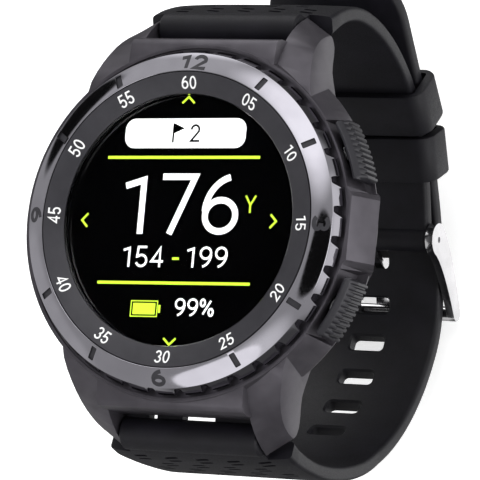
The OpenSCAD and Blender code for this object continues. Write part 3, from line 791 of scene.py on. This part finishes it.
add_piece(bezel, "bezel", "bezel", "bezel_ring")


# ---- figures -----------------------------------------------------------------
def arc(cx, cy, rx, ry, a0, a1, n=14):
    return [(cx + rx * math.cos(math.radians(a0 + (a1 - a0) * i / n)),
             cy + ry * math.sin(math.radians(a0 + (a1 - a0) * i / n))) for i in range(n + 1)]


def oval(cx, cy, rx, ry, n=28):
    return arc(cx, cy, rx, ry, 90, 450, n)[:-1] + ["closed"]


def turned(strokes, w):
    out = []
    for s in strokes:
        closed = s[-1] == "closed"
        pts = [(w - x, 1 - y) for x, y in (s[:-1] if closed else s)]
        out.append(pts + ["closed"] if closed else pts)
    return out


SIX = [oval(0.29, 0.31, 0.235, 0.26),
       arc(0.50, 0.36, 0.455, 0.60, 178, 102, 12)]
GLYPHS = {
    "0": (0.58, [oval(0.29, 0.5, 0.235, 0.45)]),
    "1": (0.46, [[(0.02, 0.80), (0.30, 0.90), (0.30, 0.0)]]),
    "2": (0.58, [arc(0.28, 0.69, 0.22, 0.26, 178, -22, 14) + [(0.07, 0.045), (0.56, 0.045)]]),
    "3": (0.58, [arc(0.27, 0.72, 0.21, 0.23, 165, -90, 14),
                 arc(0.27, 0.27, 0.235, 0.225, 90, -165, 14)]),
    "4": (0.60, [[(0.44, 0.0), (0.44, 0.92), (0.06, 0.28), (0.60, 0.28)]]),
    "5": (0.58, [[(0.52, 0.955), (0.13, 0.955), (0.09, 0.50)]
                 + arc(0.29, 0.31, 0.235, 0.265, 132, -160, 16)]),
    "6": (0.58, SIX),
    "7": (0.58, [[(0.03, 0.955), (0.54, 0.955), (0.20, 0.0)]]),
    "9": (0.58, turned(SIX, 0.58)),
    "-": (0.44, [[(0.04, 0.40), (0.40, 0.40)]]),
    "%": (0.78, [oval(0.16, 0.76, 0.115, 0.19, 18), oval(0.62, 0.24, 0.115, 0.19, 18),
                 [(0.59, 0.88), (0.19, 0.12)]]),
    "Y": (0.62, [[(0.03, 1.0), (0.31, 0.46), (0.59, 1.0)], [(0.31, 0.46), (0.31, 0.0)]]),
    " ": (0.28, []),
}


def ribbon_solid(pts, width, place, depth, closed):
    """Flat strip of a given width along pts, as a thin solid on a placed surface."""
    n = len(pts)
    verts, faces = [], []
    for i, p in enumerate(pts):
        a = pts[i - 1] if (i or closed) else None
        c = pts[(i + 1) % n] if (i < n - 1 or closed) else None
        d1 = Vector(p) - Vector(a) if a else None
        d2 = Vector(c) - Vector(p) if c else None
        d1 = (d1 or d2).normalized()
        d2 = (d2 or d1).normalized()
        nrm = Vector((-(d1.y + d2.y), d1.x + d2.x)).normalized()
        k = width / 2 / max(0.45, nrm.dot(Vector((-d1.y, d1.x))))
        lft, rgt = Vector(p) + nrm * k, Vector(p) - nrm * k
        verts += [place(lft.x, lft.y, depth), place(rgt.x, rgt.y, depth),
                  place(rgt.x, rgt.y, 0), place(lft.x, lft.y, 0)]
    last = n if closed else n - 1
    for i in range(last):
        j = (i + 1) % n
        for k in range(4):
            m = (k + 1) % 4
            faces.append((i * 4 + k, j * 4 + k, j * 4 + m, i * 4 + m))
    if not closed:
        faces.append((3, 2, 1, 0))
        b = (n - 1) * 4
        faces.append((b, b + 1, b + 2, b + 3))
    return verts, faces


def text_width(text, gap=0.12):
    return sum(GLYPHS[ch][0] + gap for ch in text) - gap


def figures(name, text, height, stroke, place, mat, depth=0.03, squeeze=1.0, gap=0.12):
    """Text drawn with strokes; place maps (u, v, lift) in mm to a point in mm."""
    total = text_width(text, gap) * squeeze * height
    u0 = -total / 2
    verts, faces = [], []
    for ch in text:
        w, strokes = GLYPHS[ch]
        for s in strokes:
            closed = s[-1] == "closed"
            pts = [(u0 + x * squeeze * height, y * height) for x, y in (s[:-1] if closed else s)]
            v, f = ribbon_solid(pts, stroke, place, depth, closed)
            faces += [tuple(i + len(verts) for i in q) for q in f]
            verts += v
        u0 += (w + gap) * squeeze * height
    return new_object(name, verts, faces, mat, 30)


# ---- numeral ring ------------------------------------------------------------
RING_IN, RING_OUT = (17.75, 13.02), (20.68, 13.8)      # ends of its sloping face
ring = revolve("numeral_ring_satin",
               round_corners([(RING_IN[0], 12.32), (RING_OUT[0], 12.32), RING_OUT, RING_IN],
                             [0, 0, 0.05, 0.06], 2), RING, 360, 25)
add_piece(ring, "case", "ring", "numeral_ring")


def on_ring(angle, outward, r0, inner, outer):
    """Placer on a cone between two (radius, z) ends: text base inwards unless outward."""
    slope = (outer[1] - inner[1]) / (outer[0] - inner[0])
    z0 = inner[1] + (r0 - inner[0]) * slope - 0.004

    def place(u, v, lift):
        r = r0 + (-v if outward else v)
        a = math.radians(angle) + (u if outward else -u) / r
        z = z0 + (r - r0) * slope + lift
        return (r * math.cos(a), r * math.sin(a), z)
    return place


RING_FIGURE_H = 1.72
for k in range(12):
    minutes = 60 if k == 0 else 5 * k
    outward = minutes in (20, 25, 30, 35, 40)
    r0 = 19.22 + (RING_FIGURE_H / 2 if outward else -RING_FIGURE_H / 2)
    place = on_ring(90 - 30 * k, outward, r0, RING_IN, RING_OUT)
    t = figures("ring_figure_%02d" % minutes, "%02d" % minutes, RING_FIGURE_H, 0.23, place,
                RING_INK, 0.02, 1.0, 0.13)
    add_piece(t, "case", "ring")

# ---- bezel numerals ----------------------------------------------------------
BEZEL_FIGURE_H = 1.95
for angle, text in ((89, "12"), (0, "3"), (-91, "6"), (180, "9")):
    outward = text == "6"
    r0 = 22.16 + (BEZEL_FIGURE_H / 2 if outward else -BEZEL_FIGURE_H / 2)
    place = on_ring(angle, outward, r0, BEZEL_IN, BEZEL_OUT)
    t = figures("bezel_figure_" + text, text, BEZEL_FIGURE_H, 0.54, place, BEZEL_MARK, 0.02,
                1.8, 0.12)
    add_piece(t, "bezel", "bezel")

# ---- picture on the display --------------------------------------------------
FACE_Z = 11.49
PICTURE_TURN = math.radians(1.3)


def on_face(x0, y0):
    def place(u, v, lift):
        x, y = x0 + u, y0 + v
        x += 0.017 * y - 0.45
        return (x * math.cos(PICTURE_TURN) - y * math.sin(PICTURE_TURN),
                x * math.sin(PICTURE_TURN) + y * math.cos(PICTURE_TURN), FACE_Z + lift)
    return place


def face_shape(name, outline, mat, depth=0.004):
    n = len(outline)
    place = on_face(0, 0)
    verts = [place(x, y, depth) for x, y in outline] + [place(x, y, 0) for x, y in outline]
    faces = [tuple(range(n)), tuple(range(2 * n - 1, n - 1, -1))]
    faces += [(i, n + i, n + (i + 1) % n, (i + 1) % n) for i in range(n)]
    return new_object(name, verts, faces, mat, 30)


def shifted(outline, x, y):
    return [(px + x, py + y) for px, py in outline]


parts = [
    figures("t", "176", 8.45, 0.92, on_face(0.3, -1.9), LIT_WHITE, 0.004, 1.18, 0.10),
    figures("t", "154", 2.95, 0.33, on_face(-4.9, -6.55), LIT_WHITE, 0.004, 1.15, 0.12),
    figures("t", "199", 2.95, 0.33, on_face(5.05, -6.55), LIT_WHITE, 0.004, 1.15, 0.12),
    figures("t", "99%", 2.5, 0.30, on_face(3.8, -13.35), LIT_WHITE, 0.004, 1.14, 0.10),
    face_shape("t", shifted(rounded_box(18.8, 4.2, 1.55, 8), -0.05, 12.3), LIT_WHITE),
]
white = join("display_white_picture", parts)
add_piece(white, "case", "display")
v, f = ribbon_solid([(-1.9, 11.0), (-1.9, 13.7)], 0.26, on_face(0, 0), 0.008, False)
parts = [
    figures("t", "2", 2.45, 0.30, on_face(1.5, 11.1), PANEL, 0.008, 1.1),
    new_object("t", v, f, PANEL, 30),
    face_shape("t", [(-1.8, 13.7), (-0.2, 13.0), (-1.8, 12.3)], PANEL, 0.008),
]
add_piece(join("display_dark_picture", parts), "case", "display")


def frame_strip(pts, width):
    v, f = ribbon_solid(pts, width, on_face(0, 0), 0.004, True)
    return new_object("t", v, f, LIT_LIME, 30)


lime = [
    face_shape("t", shifted(rounded_box(23.7, 0.42, 0.05, 1), 0.0, 8.9), LIT_LIME),
    face_shape("t", shifted(rounded_box(23.7, 0.42, 0.05, 1), 0.15, -8.75), LIT_LIME),
    figures("t", "-", 2.95, 0.36, on_face(0.2, -6.5), LIT_LIME, 0.004, 1.0),
    figures("t", "Y", 2.4, 0.28, on_face(11.0, 1.15), LIT_LIME, 0.004, 1.15),
    frame_strip([(-6.05, -13.45), (-1.95, -13.45), (-1.95, -11.3), (-6.05, -11.3)], 0.16),
    face_shape("t", shifted(rounded_box(3.5, 1.6, 0.1, 2), -4.0, -12.38), LIT_LIME),
    face_shape("t", shifted(rounded_box(0.35, 1.1, 0.08, 2), -1.62, -12.38), LIT_LIME),
]
for x, y, a in ((0, 17.0, 90), (-14.6, 0, 180), (14.7, 0, 0), (0.4, -16.9, -90)):
    c, s = math.cos(math.radians(a)), math.sin(math.radians(a))
    pts = [(-0.45, 0.95), (0.45, 0.0), (-0.45, -0.95)]
    pts = [(x + c * u - s * v, y + s * u + c * v) for u, v in pts]
    v, f = ribbon_solid(pts, 0.3, on_face(0, 0), 0.004, False)
    lime.append(new_object("t", v, f, LIT_LIME, 30))
lime = join("display_lime_picture", lime)
add_piece(lime, "case", "display")


# ---- pushers -----------------------------------------------------------------
PUSHER_ANGLE, PUSHER_HALF, PUSHER_Z, PUSHER_RIBS = 24.7, 9.8, 7.15, 11
HEAD_R, HEAD_MID = 27.3, (26.5, 7.1)


def pusher_head(name, side):
    """Curved head with upright ribs on its outer face and a smooth crown."""
    prof = round_corners([(25.7, 4.8), (HEAD_R, 4.8), (HEAD_R, 8.3), (26.7, 9.6), (26.1, 10.1),
                          (25.7, 10.1)], [0, 0.35, 0.7, 0.6, 0.3, 0.2], 5)
    steps = PUSHER_RIBS * 10
    stations = []
    mid_r, mid_z = HEAD_MID
    for i in range(steps + 1):
        f = i / steps
        a = (f - 0.5) * 2 * PUSHER_HALF
        edge = min(f, 1 - f) * 2 * PUSHER_HALF * math.radians(1) * 27
        shrink = 0.0
        if edge < 0.5:
            shrink = 0.5 - math.sqrt(max(0, 0.25 - (0.5 - edge) ** 2))
        wave = 0.5 + 0.5 * math.cos(2 * math.pi * PUSHER_RIBS * f)
        groove = 0.34 * max(0.0, min(1.0, (wave - 0.45) * 2.2))
        pts = []
        for r, z in prof:
            on_front = max(0.0, min(1.0, (r - 26.6) / 0.5)) * \
                max(0.0, min(1.0, (8.9 - z) / 0.5))
            rr = r - groove * on_front
            rr -= math.copysign(min(shrink, abs(rr - mid_r)), rr - mid_r)
            zz = z - math.copysign(min(shrink, abs(z - mid_z)), z - mid_z)
            t = math.radians(a + side * PUSHER_ANGLE)
            pts.append((rr * math.cos(t), rr * math.sin(t), zz))
        stations.append(pts)
    head = sweep(name, stations, PUSHER, 50)
    t = math.radians(side * PUSHER_ANGLE)
    turn = Matrix.Rotation(t, 4, "Z") @ Matrix.Translation((0, 0, PUSHER_Z)) @ \
        Matrix.Rotation(math.radians(90), 4, "Y")
    ring_pts = [(math.cos(2 * math.pi * k / 24), math.sin(2 * math.pi * k / 24))
                for k in range(24)]
    rows = [(0.82, 20.85), (0.9, 20.93), (0.9, 21.08), (0.6, 21.08), (0.6, 21.42), (0.9, 21.42),
            (0.9, 25.9)]
    stem = sweep("stem", [[tuple(turn @ Vector((x * r, y * r, d))) for x, y in ring_pts]
                          for r, d in rows], STEEL, 40)
    return join(name + "_whole", [head, stem])


for side, word in ((1, "upper"), (-1, "lower")):
    p = pusher_head("pusher_" + word, side)
    finish_mesh(p, 50, recalc=False)
    add_piece(p, word + "_pusher", "pusher", word + "_pusher")
